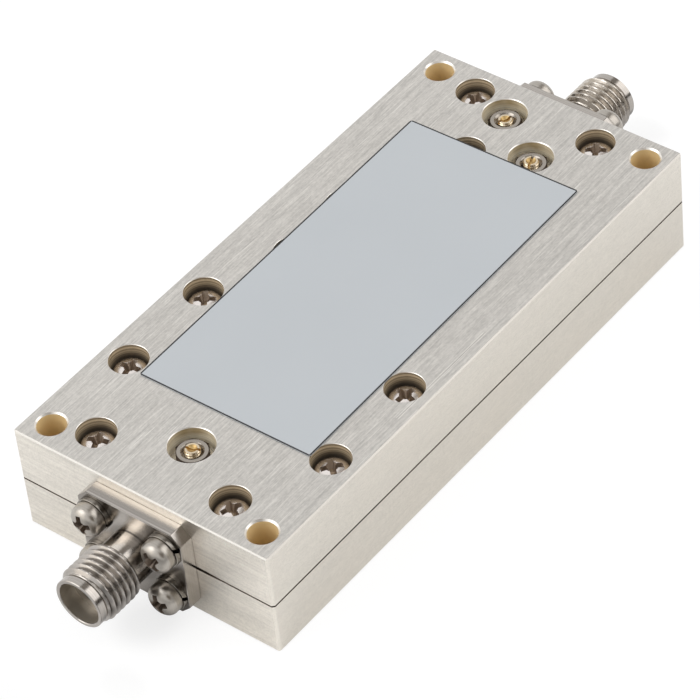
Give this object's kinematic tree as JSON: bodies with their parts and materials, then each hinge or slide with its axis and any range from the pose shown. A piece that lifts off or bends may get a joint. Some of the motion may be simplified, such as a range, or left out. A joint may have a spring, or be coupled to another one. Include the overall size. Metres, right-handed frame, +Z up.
{
  "type": "rf filter",
  "caption": "Flat two-part metal microwave filter with a threaded coaxial jack on each end, lock-nutted tuning screws in the top face and corner mounting holes.",
  "frame": {"origin": "centre of the flat underside of the housing", "axes": "+Z up through the label, Y along the length with the input jack at -Y and the output jack at +Y, X across"},
  "size_m": [0.0314, 0.087, 0.0127],
  "materials": {
    "silver_plate": "silver-plated, brushed along the length",
    "label_face": "satin grey plate with a thin dark border",
    "stainless": "turned and passivated",
    "screw_steel": "polished",
    "gold_plate": "gold-plated",
    "strip_metal": "silver-plated",
    "insulator": "natural, matt"
  },
  "bodies": {
    "housing": {"upper_shell": "silver_plate", "lower_shell": "silver_plate", "label_plate": "label_face", "cover_screws": "screw_steel", "cover_washers": "screw_steel", "input_jack": "stainless", "input_bead": "insulator", "input_contact": "gold_plate", "input_screws": "screw_steel", "input_washers": "screw_steel", "output_jack": "stainless", "output_bead": "insulator", "output_contact": "gold_plate", "output_screws": "screw_steel", "output_washers": "screw_steel", "centre_strip": "strip_metal", "strip_posts": "insulator"},
    "near_tuner": {"near_tuner": "gold_plate"},
    "near_nut": {"near_nut": "screw_steel"},
    "left_tuner": {"left_tuner": "gold_plate"},
    "left_nut": {"left_nut": "screw_steel"},
    "right_tuner": {"right_tuner": "gold_plate"},
    "right_nut": {"right_nut": "screw_steel"}
  },
  "joints": [
    {"name": "near_tuner_turn", "type": "hinge", "parent": "housing", "child": "near_tuner", "pos_m": [0.00019, -0.02586, 0.0119], "axis": [0, 0, 1], "range_deg": [-360, 360]},
    {"name": "near_nut_turn", "type": "hinge", "parent": "housing", "child": "near_nut", "pos_m": [0.00019, -0.02586, 0.0105], "axis": [0, 0, 1], "range_deg": [0, 360]},
    {"name": "left_tuner_turn", "type": "hinge", "parent": "housing", "child": "left_tuner", "pos_m": [-0.00314, 0.02909, 0.0119], "axis": [0, 0, 1], "range_deg": [-360, 360]},
    {"name": "left_nut_turn", "type": "hinge", "parent": "housing", "child": "left_nut", "pos_m": [-0.00314, 0.02909, 0.0105], "axis": [0, 0, 1], "range_deg": [0, 360]},
    {"name": "right_tuner_turn", "type": "hinge", "parent": "housing", "child": "right_tuner", "pos_m": [0.00307, 0.02502, 0.0119], "axis": [0, 0, 1], "range_deg": [-360, 360]},
    {"name": "right_nut_turn", "type": "hinge", "parent": "housing", "child": "right_nut", "pos_m": [0.00307, 0.02502, 0.0105], "axis": [0, 0, 1], "range_deg": [0, 360]}
  ]
}
